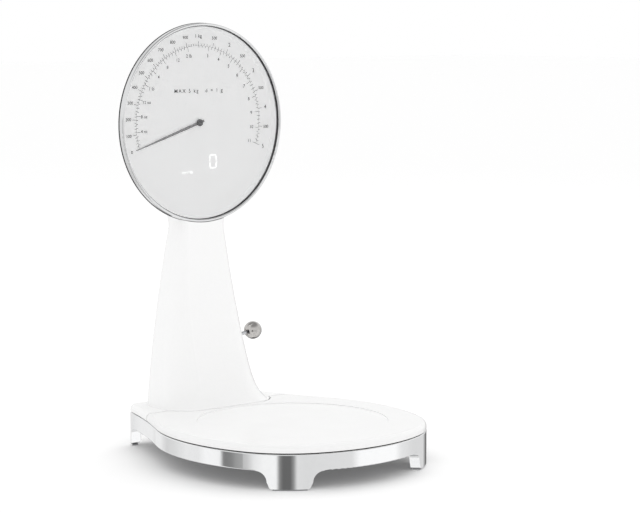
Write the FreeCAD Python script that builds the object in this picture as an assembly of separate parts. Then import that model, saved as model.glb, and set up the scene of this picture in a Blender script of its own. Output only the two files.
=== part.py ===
# Retro kitchen scale: a round dial head on a tapered column, over a weighing plate on a footed ring.
# Millimetres, +Z up. The origin is on the ground at the middle of the base's length and width.
# The dial faces -Y; the lever comes out of the column's +X side.
import FreeCAD
import Part
import math
import os

V = FreeCAD.Vector
X_AXIS = V(1, 0, 0)
Y_AXIS = V(0, 1, 0)
Z_AXIS = V(0, 0, 1)

# ---------------------------------------------------------------- driving dimensions
# Plan of the base: tangent arcs from the front to the tail, the same on both sides.
HALF_WIDTH = 101.2
FRONT_Y = -122.0
REAR_Y = 122.0
FRONT_RADIUS = 130.0
CORNER_RADIUS = 74.0
SIDE_RADIUS = 140.0
SIDE_Y = -18.0
FLANK_RADIUS = 450.0
FLANK_START_DEG = 25.7
TAIL_RADIUS = 12.0

# Heights of the base
PAD_HEIGHT = 1.2
RING_BOTTOM = 14.6
RING_TOP = 27.6
RING_WALL = 3.0
RING_EDGE = 0.9
COVER_BOTTOM = 15.0
COVER_TOP = 17.0
LEDGE_TOP = 19.4
LEDGE_INSET = 9.0

# Feet
FOOT_ANGLE = 40.7
FOOT_DEPTH = 7.5
FOOT_HALF = 16.0
FOOT_WAIST = 17.3
FOOT_FLARE = 8.5
FOOT_ROUND = 2.5
TAIL_FOOT_X = 50.0
TAIL_FOOT_Y = 114.0
TAIL_FOOT_FLARE = 6.0

# Weighing plate and the column's foot, which share one outline and one height
PLATE_Y = -21.0
PLATE_BOTTOM = 28.5
PLATE_TOP = 34.0
PLATE_EDGE = 3.6
PLATE_WALL = 2.4
PLATE_SKIN = 2.6
RECESS_RADIUS = 75.5
RECESS_DEPTH = 0.7
SPLIT_Y = 73.0
FOOT_RIM = 1.8
SPLIT_GAP = 1.2

# Column: a tapering shaft that flares into its foot and again under the head
COLUMN_BACK = 117.0
COLUMN_WALL = 2.5
COLUMN_FOOT_Z = 33.2
COLUMN_NECK_Z = 178.0
COLUMN_HALF = 45.2
COLUMN_TAPER = 0.102
COLUMN_TAPER_GROWTH = 0.0004
COLUMN_FLARE = 6.5
COLUMN_FLARE_HEIGHT = 8.0
COLUMN_NECK_FLARE = 0.012
NECK_FRONT = 91.6
FRONT_CURVE = 0.00128
FRONT_FLARE = 6.0
FRONT_CORNER = 6.0
FRONT_CORNER_GROWTH = 0.125
BACK_CORNER = 7.0
BACK_CORNER_FLARE = 15.0
COLUMN_HEIGHTS = (33.2, 35.4, 38.5, 43.0, 50.0, 62.0, 80.0, 100.0, 120.0, 140.0, 160.0, 178.0, 190.0, 202.0,
                  216.0)
FOOT_OPENING = (28.0, 70.0, 110.0, 10.0)

# Panel in the column's back
PANEL_LOW = (46.0, 33.0)
PANEL_HIGH = (160.0, 17.0)
PANEL_CORNER = 6.0
PANEL_LIP = 5.0
PANEL_GAP = 0.15

# Head: a slim chrome bezel over the glass, in front of a domed housing
DIAL_Z = 263.6
BEZEL_RADIUS = 81.2
BEZEL_BORE = 79.1
BEZEL_FRONT = 91.9
BEZEL_BACK = 97.4
RIM_RADIUS = 80.0
RIM_FRONT = 96.1
RIM_BORE = 76.9
RIM_GAP = 0.1
GLASS_FRONT = 93.8
GLASS_BACK = 95.2
GASKET_BORE = 78.6
SPACER_FRONT = (78.3, 79.0)
SPACER_BACK = (76.3, 77.2)
DIAL_FACE = 99.9
DIAL_BACK = 101.1
DIAL_LEDGE = 73.0
HOUSING_BACK = 122.0
HOUSING_WALL = 2.2
SHOULDER_R = 77.9
DOME_CENTRE_R = 35.9
DOME_CENTRE_Y = 70.2
DOME_RADIUS = 52.2
DOME_EDGE_R = 56.0
ZERO_DEG = 18.0

# Gauge drive: one gear pair behind the dial
GEAR_MODULE = 0.5
GEAR_TEETH = 40
PINION_TEETH = 10
GEAR_FRONT = 104.4
GEAR_BACK = 106.4
ARBOR_RADIUS = 0.75
ROTOR_RADIUS = 1.0
RUN_CLEARANCE = 0.05
GEAR_DISTANCE = GEAR_MODULE * (GEAR_TEETH + PINION_TEETH) / 2.0

# Load cell
CELL_HALF = 6.0
CELL_FREE_Y = -58.5
CELL_FIXED_Y = 16.5
CELL_BOTTOM = 19.0
CELL_TOP = 27.0
CELL_END = 16.0
SPIDER_BOTTOM = 28.8
SPIDER_TOP = 31.4

# Tare lever
PIVOT_X = 20.0
PIVOT_Y = 101.0
PIVOT_Z = 80.2
PIN_RADIUS = 1.5
LEVER_REACH = 37.5
LEVER_SLOPE = 9.5
KNOB_RADIUS = 7.5
STEM_RADIUS = 1.5
NOSE_ARM = 7.0
NOSE_RADIUS = 2.0
NOSE_GAP = 0.15
PLUNGER_RADIUS = 1.4

# Fasteners
SCREW_RADIUS = 1.25
SCREW_HEAD = 2.6
SCREW_HEAD_HEIGHT = 1.6


# ---------------------------------------------------------------- helpers
def box(x0, x1, y0, y1, z0, z1):
    return Part.makeBox(x1 - x0, y1 - y0, z1 - z0, V(x0, y0, z0))


def rod(point, axis, radius, length):
    return Part.makeCylinder(radius, length, point, axis)


def fuse(shapes):
    result = shapes[0]
    for shape in shapes[1:]:
        result = result.fuse(shape)
    return result.removeSplitter()


def group(shapes):
    return Part.makeCompound(shapes)


def mirrored(shape):
    return shape.mirror(V(0, 0, 0), X_AXIS)


def save(name, shape):
    if not shape.isValid():
        print("not valid:", name)
    shape.exportStep("parts/" + name + ".step")


def unit(vector):
    return vector * (1.0 / vector.Length)


def arc(centre, radius, start, end):
    """Minor arc from start to end about the centre."""
    middle = centre + unit((start + end) * 0.5 - centre) * radius
    return Part.Arc(start, middle, end).toShape()


def line(start, end):
    return Part.LineSegment(start, end).toShape()


def polygon(points):
    return Part.Face(Part.makePolygon(points + [points[0]]))


def turned(profile, y_axis_z):
    """Solid of revolution about the Y direction at height y_axis_z from (radius, y) edges."""
    return Part.Face(Part.Wire(profile)).revolve(V(0, 0, y_axis_z), Y_AXIS, 360)


def rim_point(radius, y):
    return V(radius, y, DIAL_Z)


def turned_polygon(points):
    edges = []
    for index, point in enumerate(points):
        following = points[(index + 1) % len(points)]
        edges.append(line(rim_point(*point), rim_point(*following)))
    return turned(edges, DIAL_Z)


def screw(point, axis, length, shank=SCREW_RADIUS, head=SCREW_HEAD):
    """Pan head screw: point is under the head, axis runs along the shank."""
    body = rod(point, axis, shank, length)
    cap = rod(point - axis * SCREW_HEAD_HEIGHT, axis, head, SCREW_HEAD_HEIGHT)
    socket = rod(point - axis * SCREW_HEAD_HEIGHT, axis, head * 0.45, SCREW_HEAD_HEIGHT * 0.6)
    return body.fuse(cap).cut(socket)


# ---------------------------------------------------------------- base outline
def outline_centres():
    front = V(0, FRONT_Y + FRONT_RADIUS, 0)
    side = V(HALF_WIDTH - SIDE_RADIUS, SIDE_Y, 0)
    reach_front = FRONT_RADIUS - CORNER_RADIUS
    reach_side = SIDE_RADIUS - CORNER_RADIUS
    span = front - side
    along = (reach_side ** 2 - reach_front ** 2 + span.Length ** 2) / (2 * span.Length)
    across = math.sqrt(reach_side ** 2 - along ** 2)
    direction = unit(span)
    corner = side + direction * along + V(direction.y, -direction.x, 0) * across
    slope = math.radians(FLANK_START_DEG)
    flank_dir = V(math.cos(slope), math.sin(slope), 0)
    flank = side + flank_dir * (SIDE_RADIUS + FLANK_RADIUS)
    tail_y = REAR_Y - TAIL_RADIUS
    reach_tail = FLANK_RADIUS + TAIL_RADIUS
    tail = V(flank.x - math.sqrt(reach_tail ** 2 - (flank.y - tail_y) ** 2), tail_y, 0)
    return front, corner, side, flank_dir, flank, tail


def outline(inset):
    """Closed wire of the base's plan, moved inwards by inset, at z = 0."""
    front, corner, side, flank_dir, flank, tail = outline_centres()
    points = [
        front + unit(corner - front) * (FRONT_RADIUS - inset),
        side + unit(corner - side) * (SIDE_RADIUS - inset),
        side + flank_dir * (SIDE_RADIUS - inset),
        flank + unit(tail - flank) * (FLANK_RADIUS + inset),
        V(tail.x, REAR_Y - inset, 0),
    ]
    arcs = [
        arc(corner, CORNER_RADIUS - inset, points[0], points[1]),
        arc(side, SIDE_RADIUS - inset, points[1], points[2]),
        arc(flank, FLANK_RADIUS + inset, points[2], points[3]),
        arc(tail, TAIL_RADIUS - inset, points[3], points[4]),
    ]
    opposite = [mirrored(edge) for edge in arcs]
    rear = line(points[4], V(-tail.x, REAR_Y - inset, 0))
    start = V(-points[0].x, points[0].y, 0)
    nose = Part.Arc(start, V(0, FRONT_Y + inset, 0), points[0]).toShape()
    edges = Part.sortEdges([nose] + arcs + [rear] + opposite)[0]
    return Part.Wire(edges)


def slab(inset, z0, z1):
    wire = outline(inset)
    wire.translate(V(0, 0, z0))
    return Part.Face(wire).extrude(V(0, 0, z1 - z0))


def edges_at(shape, z):
    found = []
    for edge in shape.Edges:
        bounds = edge.BoundBox
        if abs(bounds.ZMin - z) < 0.01 and abs(bounds.ZMax - z) < 0.01:
            found.append(edge)
    return found


def polar(radius, degrees, z):
    """Point about the plate's centre; 0 degrees is the front, positive towards +X."""
    angle = math.radians(degrees)
    return V(radius * math.sin(angle), PLATE_Y - radius * math.cos(angle), z)


# ---------------------------------------------------------------- base ring
FOOT_TOP = RING_BOTTOM + RING_EDGE
SHELF_FRONT_Y = 84.0
PAD_MARGIN = 1.2
COVER_BOSSES = [(92.0, angle) for angle in (-105, -62, -16, 16, 62, 105)]
COLUMN_BOSSES = [(50.0, 98.0), (34.0, 112.5)]


def sole_corner(x, side):
    """Round at the edge of a sole, from x outwards to the given side."""
    bend = FOOT_ROUND * math.sqrt(0.5)
    return Part.Arc(V(x, 0, PAD_HEIGHT),
                    V(x + side * bend, 0, PAD_HEIGHT + FOOT_ROUND - bend),
                    V(x + side * FOOT_ROUND, 0, PAD_HEIGHT + FOOT_ROUND)).toShape()


def foot_profile():
    """Outline of a front foot seen from outside: rounded sole, concave flare into the ring."""
    flare_z = RING_BOTTOM - FOOT_FLARE
    outer = FOOT_WAIST + FOOT_FLARE
    bend = FOOT_FLARE * (1 - math.sqrt(0.5))
    sole_half = FOOT_HALF - FOOT_ROUND
    right = [
        sole_corner(sole_half, 1),
        line(V(FOOT_HALF, 0, PAD_HEIGHT + FOOT_ROUND), V(FOOT_WAIST, 0, flare_z)),
        Part.Arc(V(FOOT_WAIST, 0, flare_z),
                 V(FOOT_WAIST + bend, 0, RING_BOTTOM - bend),
                 V(outer, 0, RING_BOTTOM)).toShape(),
        line(V(outer, 0, RING_BOTTOM), V(outer, 0, FOOT_TOP)),
    ]
    sole = line(V(-sole_half, 0, PAD_HEIGHT), V(sole_half, 0, PAD_HEIGHT))
    top = line(V(-outer, 0, FOOT_TOP), V(outer, 0, FOOT_TOP))
    edges = [sole, top] + right + [mirrored(edge) for edge in right]
    return Part.Face(Part.Wire(Part.sortEdges(edges)[0]))


def tail_profile(inner, outer):
    """Foot at a tail corner seen square on, between inner and outer along the first axis."""
    flare_z = RING_BOTTOM - TAIL_FOOT_FLARE
    bend = TAIL_FOOT_FLARE * (1 - math.sqrt(0.5))
    low = inner - TAIL_FOOT_FLARE
    edges = [
        line(V(outer, 0, PAD_HEIGHT), V(inner + FOOT_ROUND, 0, PAD_HEIGHT)),
        sole_corner(inner + FOOT_ROUND, -1),
        line(V(inner, 0, PAD_HEIGHT + FOOT_ROUND), V(inner, 0, flare_z)),
        Part.Arc(V(inner, 0, flare_z),
                 V(inner - bend, 0, RING_BOTTOM - bend),
                 V(low, 0, RING_BOTTOM)).toShape(),
        line(V(low, 0, RING_BOTTOM), V(low, 0, FOOT_TOP)),
        line(V(low, 0, FOOT_TOP), V(outer, 0, FOOT_TOP)),
        line(V(outer, 0, FOOT_TOP), V(outer, 0, PAD_HEIGHT)),
    ]
    return Part.Face(Part.Wire(edges))


def front_foot_block(face, angle):
    block = face.extrude(V(0, -FRONT_RADIUS, 0))
    block.translate(V(0, PLATE_Y, 0))
    block.rotate(V(0, PLATE_Y, 0), Z_AXIS, angle)
    return block


def tail_foot_block():
    across = tail_profile(TAIL_FOOT_X, HALF_WIDTH).extrude(V(0, REAR_Y, 0))
    along = tail_profile(TAIL_FOOT_Y, REAR_Y + 1)
    along.rotate(V(0, 0, 0), Z_AXIS, 90)
    return across.common(along.extrude(V(HALF_WIDTH, 0, 0)))


def base_ring():
    band = slab(0, RING_BOTTOM, RING_TOP)
    band = band.makeFillet(RING_EDGE, edges_at(band, RING_TOP) + edges_at(band, RING_BOTTOM))
    band = band.cut(slab(RING_WALL, RING_BOTTOM - 1, RING_TOP + 1))
    sole_ring = slab(0, PAD_HEIGHT, FOOT_TOP + 1)
    sole_ring = sole_ring.cut(slab(FOOT_DEPTH, 0, FOOT_TOP + 2))
    profile = foot_profile()
    feet = [front_foot_block(profile, angle).common(sole_ring) for angle in (-FOOT_ANGLE, FOOT_ANGLE)]
    tail_foot = tail_foot_block().common(sole_ring)
    feet += [tail_foot, mirrored(tail_foot)]
    ledge = slab(RING_WALL - 0.1, COVER_TOP, LEDGE_TOP)
    ledge = ledge.cut(slab(LEDGE_INSET, COVER_TOP - 1, LEDGE_TOP + 1))
    shelf = slab(RING_WALL - 0.1, COVER_TOP, LEDGE_TOP)
    shelf = shelf.common(box(-HALF_WIDTH, HALF_WIDTH, SHELF_FRONT_Y, REAR_Y, 0, RING_TOP))
    shelf = shelf.cut(box(-34, 34, SHELF_FRONT_Y - 1, 108, 0, RING_TOP))
    bosses = [rod(polar(radius, angle, COVER_TOP), Z_AXIS, 3.2, 7) for radius, angle in COVER_BOSSES]
    ring = fuse([band] + feet + [ledge, shelf] + bosses)
    # the feet stay below the floor plate, which fills the ring's inside
    ring = ring.cut(slab(RING_WALL + 0.05, RING_BOTTOM + 0.1, COVER_TOP))
    for radius, angle in COVER_BOSSES:
        ring = ring.cut(rod(polar(radius, angle, COVER_TOP - 1), Z_AXIS, SCREW_RADIUS, 7))
    for x, y in COLUMN_BOSSES:
        for side in (-x, x):
            ring = ring.cut(rod(V(side, y, COVER_TOP - 1), Z_AXIS, SCREW_RADIUS + 0.2, 5))
    return ring


def foot_pads():
    sole = slab(PAD_MARGIN, 0, PAD_HEIGHT).cut(slab(FOOT_DEPTH - PAD_MARGIN, -1, PAD_HEIGHT + 1))
    half = FOOT_HALF - FOOT_ROUND - 0.5
    front = box(-half, half, PLATE_Y - FRONT_RADIUS, PLATE_Y, -1, PAD_HEIGHT + 1)
    pads = []
    for angle in (-FOOT_ANGLE, FOOT_ANGLE):
        block = front.copy()
        block.rotate(V(0, PLATE_Y, 0), Z_AXIS, angle)
        pads.append(block.common(sole))
    low_x = TAIL_FOOT_X + FOOT_ROUND + 0.5
    corner = box(low_x, HALF_WIDTH, TAIL_FOOT_Y + 0.5, REAR_Y, -1, PAD_HEIGHT + 1)
    tail = corner.common(sole)
    pads += [tail, mirrored(tail)]
    return group(pads)


# ---------------------------------------------------------------- floor plate and its screws
BOARD_BOX = (-32.0, 32.0, 34.0, 80.0)
BOARD_BOTTOM = 20.0
BOARD_TOP = 21.6
BOARD_POSTS = [(-28.0, 38.0), (28.0, 38.0), (-28.0, 76.0), (28.0, 76.0)]
CELL_FIXED_SCREWS = (4.0, 12.0)
CELL_FREE_SCREWS = (-54.5, -46.5)


def bottom_cover():
    cover = slab(RING_WALL + 0.2, COVER_BOTTOM, COVER_TOP)
    posts = [rod(V(x, y, COVER_TOP - 0.5), Z_AXIS, 2.8, BOARD_BOTTOM - COVER_TOP + 0.5)
             for x, y in BOARD_POSTS]
    cover = fuse([cover] + posts)
    for x, y in BOARD_POSTS:
        cover = cover.cut(rod(V(x, y, COVER_TOP), Z_AXIS, 0.95, 4))
    for radius, angle in COVER_BOSSES:
        cover = cover.cut(rod(polar(radius, angle, COVER_BOTTOM - 1), Z_AXIS, SCREW_RADIUS + 0.2, 4))
    for x, y in COLUMN_BOSSES:
        for side in (-x, x):
            cover = cover.cut(rod(V(side, y, COVER_BOTTOM - 1), Z_AXIS, SCREW_RADIUS + 0.2, 4))
    for y in CELL_FIXED_SCREWS:
        cover = cover.cut(rod(V(0, y, COVER_BOTTOM - 1), Z_AXIS, 1.7, 4))
    return cover


def cover_screws():
    return group([screw(polar(radius, angle, COVER_BOTTOM), Z_AXIS, 7)
                  for radius, angle in COVER_BOSSES])


def column_foot_screws():
    screws = []
    for x, y in COLUMN_BOSSES:
        for side in (-x, x):
            screws.append(screw(V(side, y, COVER_BOTTOM), Z_AXIS, 12))
    return group(screws)


# ---------------------------------------------------------------- load cell
def load_cell():
    bar = box(-CELL_HALF, CELL_HALF, CELL_FREE_Y, CELL_FIXED_Y, CELL_BOTTOM, CELL_TOP)
    middle_z = (CELL_BOTTOM + CELL_TOP) / 2
    for y in (PLATE_Y - 7, PLATE_Y + 7):
        bar = bar.cut(rod(V(-CELL_HALF - 1, y, middle_z), X_AXIS, 2.9, 2 * CELL_HALF + 2))
    slot = box(-CELL_HALF - 1, CELL_HALF + 1, PLATE_Y - 7, PLATE_Y + 7, middle_z - 1, middle_z + 1)
    bar = bar.cut(slot)
    for y in CELL_FIXED_SCREWS + CELL_FREE_SCREWS:
        bar = bar.cut(rod(V(0, y, CELL_BOTTOM - 1), Z_AXIS, 1.5, CELL_TOP - CELL_BOTTOM + 2))
    return bar


def strain_gauges():
    patches = []
    for y in (PLATE_Y - 7, PLATE_Y + 7):
        patches.append(box(-3, 3, y - 2.5, y + 2.5, CELL_TOP, CELL_TOP + 0.4))
        patches.append(box(-3, 3, y - 2.5, y + 2.5, CELL_BOTTOM - 0.4, CELL_BOTTOM))
    return group(patches)


def cell_block(y0, y1, z0, z1, screws):
    block = box(-CELL_HALF, CELL_HALF, y0, y1, z0, z1)
    for y in screws:
        block = block.cut(rod(V(0, y, z0 - 1), Z_AXIS, 1.7, z1 - z0 + 2))
    return block


def cell_fixed_screws():
    return group([screw(V(0, y, COVER_BOTTOM), Z_AXIS, 10, 1.45) for y in CELL_FIXED_SCREWS])


def cell_free_screws():
    return group([screw(V(0, y, SPIDER_TOP - 1.7), -Z_AXIS, 9, 1.45) for y in CELL_FREE_SCREWS])


# ---------------------------------------------------------------- weighing plate
PLATE_BOSSES = [polar(66.0, angle, 0) for angle in (45, 135, 225, 315)]


def split_prism(shift, z0, z1):
    """Everything behind the seam between the weighing plate and the column's foot."""
    far = HALF_WIDTH + 20
    behind = box(-far, far, SPLIT_Y + shift, REAR_Y + 20, z0, z1)
    half, front, corner, back_corner = column_size(COLUMN_FOOT_Z)
    rim = FOOT_RIM - shift
    foot = Part.Face(column_section(z0, half + rim, front - rim, REAR_Y, corner + rim, back_corner))
    return behind.fuse(foot.extrude(V(0, 0, z1 - z0)))


def top_slab():
    solid = slab(0, PLATE_BOTTOM, PLATE_TOP)
    return solid.makeFillet(PLATE_EDGE, edges_at(solid, PLATE_TOP))


def weighing_plate():
    plate = top_slab().cut(split_prism(-SPLIT_GAP / 2, PLATE_BOTTOM - 1, PLATE_TOP + 1))
    hollow = slab(PLATE_WALL, PLATE_BOTTOM - 1, PLATE_TOP - PLATE_SKIN)
    hollow = hollow.cut(split_prism(-SPLIT_GAP / 2 - PLATE_WALL, PLATE_BOTTOM - 2, PLATE_TOP + 1))
    plate = plate.cut(hollow)
    centre = V(0, PLATE_Y, PLATE_TOP - RECESS_DEPTH)
    recess = Part.makeCone(RECESS_RADIUS - 0.35, RECESS_RADIUS, RECESS_DEPTH, centre, Z_AXIS)
    plate = plate.cut(recess)
    bosses = []
    for spot in PLATE_BOSSES:
        bosses.append(rod(V(spot.x, spot.y, SPIDER_BOTTOM - 1), Z_AXIS, 3.0,
                          PLATE_TOP - PLATE_SKIN - SPIDER_BOTTOM + 1.3))
    return fuse([plate] + bosses)


def platform_spider():
    centre = V(0, PLATE_Y, 0)
    arm = box(-7, 7, PLATE_Y - 73, PLATE_Y + 73, SPIDER_BOTTOM, SPIDER_TOP)
    arms = []
    for angle in (45, -45):
        turned_arm = arm.copy()
        turned_arm.rotate(centre, Z_AXIS, angle)
        arms.append(turned_arm)
    spine = box(-9, 9, CELL_FREE_Y - 2, PLATE_Y + 12, SPIDER_BOTTOM, SPIDER_TOP)
    spider = fuse(arms + [spine])
    for spot in PLATE_BOSSES:
        spider = spider.cut(rod(V(spot.x, spot.y, SPIDER_BOTTOM - 1), Z_AXIS, 3.1, 5))
    for y in CELL_FREE_SCREWS:
        spider = spider.cut(rod(V(0, y, SPIDER_BOTTOM - 1), Z_AXIS, 1.7, 5))
        spider = spider.cut(rod(V(0, y, SPIDER_TOP - 1.7), Z_AXIS, SCREW_HEAD + 0.3, 4))
    return spider


def plate_retainers():
    rings = []
    for spot in PLATE_BOSSES:
        low = V(spot.x, spot.y, SPIDER_BOTTOM - 0.8)
        ring = rod(low, Z_AXIS, 5.6, 0.8).cut(rod(low - Z_AXIS, Z_AXIS, 3.0, 3))
        rings.append(ring)
    return group(rings)


# ---------------------------------------------------------------- column
def column_section(z, half, front, back, corner, back_corner):
    """Rounded rectangle across the column at height z."""
    bend = 1 - math.sqrt(0.5)
    fc = corner * bend
    bc = back_corner * bend
    right_front = V(half - corner, front, z)
    right_side = V(half, front + corner, z)
    right_rear = V(half, back - back_corner, z)
    rear_right = V(half - back_corner, back, z)
    edges = [
        line(V(-right_front.x, front, z), right_front),
        Part.Arc(right_front, V(half - fc, front + fc, z), right_side).toShape(),
        line(right_side, right_rear),
        Part.Arc(right_rear, V(half - bc, back - bc, z), rear_right).toShape(),
        line(rear_right, V(-rear_right.x, back, z)),
        Part.Arc(V(-rear_right.x, back, z), V(bc - half, back - bc, z),
                 V(-half, right_rear.y, z)).toShape(),
        line(V(-half, right_rear.y, z), V(-half, right_side.y, z)),
        Part.Arc(V(-half, right_side.y, z), V(fc - half, front + fc, z),
                 V(-right_front.x, front, z)).toShape(),
    ]
    return Part.Wire(edges)


def column_size(z):
    """Half width, front face, front corner radius and back corner radius at height z."""
    rise = z - COLUMN_FOOT_Z
    below_neck = max(COLUMN_NECK_Z - z, 0.0)
    above_neck = max(z - COLUMN_NECK_Z, 0.0)
    shaft = min(rise, COLUMN_NECK_Z - COLUMN_FOOT_Z)
    fade = math.exp(-rise / COLUMN_FLARE_HEIGHT)
    half = COLUMN_HALF - COLUMN_TAPER * shaft - COLUMN_TAPER_GROWTH * shaft ** 2
    half += COLUMN_FLARE * fade + COLUMN_NECK_FLARE * above_neck ** 2
    front = NECK_FRONT - FRONT_CURVE * below_neck ** 2 - FRONT_FLARE * fade
    corner = FRONT_CORNER + FRONT_CORNER_GROWTH * below_neck
    back_corner = BACK_CORNER + BACK_CORNER_FLARE * fade
    return half, front, corner, back_corner


def column_loft(wall):
    wires = []
    for z in COLUMN_HEIGHTS:
        half, front, corner, back_corner = column_size(z)
        wires.append(column_section(z, half - wall, front + wall, COLUMN_BACK - wall,
                                    corner - wall, back_corner - wall))
    return Part.makeLoft(wires, True, False)


def panel_face(margin, y):
    """Tapered panel outline in the column's back, grown outwards by margin."""
    low_z, low_half = PANEL_LOW
    high_z, high_half = PANEL_HIGH
    corners = [
        V(-low_half - margin, y, low_z - margin),
        V(low_half + margin, y, low_z - margin),
        V(high_half + margin, y, high_z + margin),
        V(-high_half - margin, y, high_z + margin),
    ]
    return polygon(corners)


def panel_block(margin, y0, y1):
    block = panel_face(margin, y0).extrude(V(0, y1 - y0, 0))
    uprights = [edge for edge in block.Edges if abs(edge.BoundBox.YMax - edge.BoundBox.YMin) > 0.1
                and edge.BoundBox.ZMax - edge.BoundBox.ZMin < 0.1]
    return block.makeFillet(PANEL_CORNER + margin, uprights)


PANEL_BACK = COLUMN_BACK
PANEL_FRONT = COLUMN_BACK - COLUMN_WALL
PANEL_SCREWS = [(25.0, 51.5), (10.5, 154.0)]
HEAD_SCREWS = (-6.5, 6.5)
HEAD_SCREW_Z = 172.0
SOCKET_Z = 66.0
SOCKET_HALF_X = 4.6
SOCKET_HALF_Z = 1.75


def screw_pairs(pairs):
    return [(side * x, z) for x, z in pairs for side in (-1, 1)]


def head_envelope(gap):
    """The head's outer form, grown by gap, which the column's top is trimmed to."""
    clear_front = BEZEL_FRONT - 10
    radius = BEZEL_RADIUS + gap
    front = [(0, clear_front), (radius, clear_front), (radius, BEZEL_BACK + gap),
             (RIM_RADIUS + gap, BEZEL_BACK + gap)]
    return dome_solid(front, SHOULDER_R, DOME_EDGE_R, gap)


def column_shell():
    outer = column_loft(0)
    flange = top_slab().common(split_prism(SPLIT_GAP / 2, PLATE_BOTTOM - 1, PLATE_TOP + 1))
    bosses = []
    for x, y in COLUMN_BOSSES:
        for side in (-x, x):
            bosses.append(rod(V(side, y, LEDGE_TOP), Z_AXIS, 3.6, PLATE_BOTTOM + 1 - LEDGE_TOP))
    shell = fuse([outer, flange] + bosses)
    shell = shell.cut(column_loft(COLUMN_WALL))
    # the opening under the column's foot
    half, front, back, corner = FOOT_OPENING
    opening = Part.Face(column_section(PLATE_BOTTOM - 1, half, front, back, corner, corner))
    shell = shell.cut(opening.extrude(V(0, 0, COLUMN_FOOT_Z - PLATE_BOTTOM + 2)))
    for x, y in COLUMN_BOSSES:
        for side in (-x, x):
            shell = shell.cut(rod(V(side, y, LEDGE_TOP - 1), Z_AXIS, SCREW_RADIUS, 9))
    # seat for the back panel
    lip = panel_block(1.5, PANEL_FRONT - 2.2, PANEL_FRONT)
    shell = shell.fuse(lip)
    shell = shell.cut(panel_block(PANEL_GAP, PANEL_FRONT, PANEL_BACK + 5))
    shell = shell.cut(panel_block(-PANEL_LIP, PANEL_FRONT - 5, PANEL_BACK + 5))
    shell = shell.cut(head_envelope(0.2))
    for x, z in screw_pairs(PANEL_SCREWS):
        shell = shell.cut(rod(V(x, PANEL_FRONT - 5, z), Y_AXIS, SCREW_RADIUS, 10))
    for x in HEAD_SCREWS:
        shell = shell.cut(rod(V(x, PANEL_FRONT - 2, HEAD_SCREW_Z), Y_AXIS, SCREW_RADIUS + 0.2, 9))
        shell = shell.cut(rod(V(x, COLUMN_BACK - 1.7, HEAD_SCREW_Z), Y_AXIS, SCREW_HEAD + 0.3, 5))
    shell = shell.cut(slot_block(SLOT_HALF_Y, SLOT_HALF_Z, 25))
    # posts that carry the lever's bracket
    outer = column_loft(COLUMN_WALL * 0.5)
    for x, z in BRACKET_SCREWS:
        post = rod(V(x, 60, z), Y_AXIS, 3.2, EAR_FRONT - 60).common(outer)
        shell = shell.fuse(post).cut(rod(V(x, EAR_FRONT - 6, z), Y_AXIS, SCREW_RADIUS, 8))
    return shell


SLOT_X = 38.6
SLOT_Z = 82.0
SLOT_HALF_Y = 3.6
SLOT_HALF_Z = 5.6
SIDE_TILT = 8.0


def slot_block(half_y, half_z, depth):
    """Rounded slot through the column's +X side, square to the sloping wall."""
    block = box(-depth / 2, depth / 2, -half_y, half_y, -half_z, half_z)
    rounds = [edge for edge in block.Edges if edge.BoundBox.XMax - edge.BoundBox.XMin > depth / 2]
    block = block.makeFillet(half_y - 0.05, rounds)
    block.rotate(V(0, 0, 0), Y_AXIS, -SIDE_TILT)
    block.translate(V(SLOT_X, PIVOT_Y, SLOT_Z))
    return block


def lever_escutcheon():
    """Trim that lines the lever's slot, with a thin lip on the outside."""
    plug = slot_block(SLOT_HALF_Y - 0.1, SLOT_HALF_Z - 0.1, 5.0)
    lip = slot_block(SLOT_HALF_Y + 1.3, SLOT_HALF_Z + 1.3, 0.9)
    normal = V(math.cos(math.radians(SIDE_TILT)), 0, math.sin(math.radians(SIDE_TILT)))
    plug.translate(normal * -1.8)
    lip.translate(normal * 1.15)
    return plug.fuse(lip).removeSplitter().cut(slot_block(2.2, 4.2, 25))


def column_back_panel():
    panel = panel_block(0, PANEL_FRONT, PANEL_BACK)
    rims = [edge for edge in panel.Edges if edge.BoundBox.YMin > PANEL_BACK - 0.01]
    panel = panel.makeFillet(0.5, rims)
    for x, z in screw_pairs(PANEL_SCREWS):
        panel = panel.cut(rod(V(x, PANEL_FRONT - 1, z), Y_AXIS, SCREW_RADIUS + 0.2, 9))
        panel = panel.cut(rod(V(x, PANEL_BACK - 1.7, z), Y_AXIS, SCREW_HEAD + 0.3, 5))
    board_low = SOCKET_Z - SOCKET_HALF_Z - 1.2
    for x in (-9, 6):
        panel = panel.fuse(box(x, x + 3, PANEL_FRONT - 6.5, PANEL_FRONT + 0.2, board_low - 2, board_low))
    opening = box(-SOCKET_HALF_X - 0.5, SOCKET_HALF_X + 0.5, PANEL_FRONT - 1, PANEL_BACK + 1,
                  SOCKET_Z - SOCKET_HALF_Z - 0.5, SOCKET_Z + SOCKET_HALF_Z + 0.5)
    rounds = [edge for edge in opening.Edges if edge.BoundBox.YMax - edge.BoundBox.YMin > 1]
    return panel.cut(opening.makeFillet(1.9, rounds))


def column_screws():
    screws = [screw(V(x, PANEL_BACK - 1.7, z), -Y_AXIS, 2.9) for x, z in screw_pairs(PANEL_SCREWS)]
    return group(screws)


def head_screws():
    return group([screw(V(x, COLUMN_BACK - 1.7, HEAD_SCREW_Z), -Y_AXIS, 4.6) for x in HEAD_SCREWS])


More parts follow.
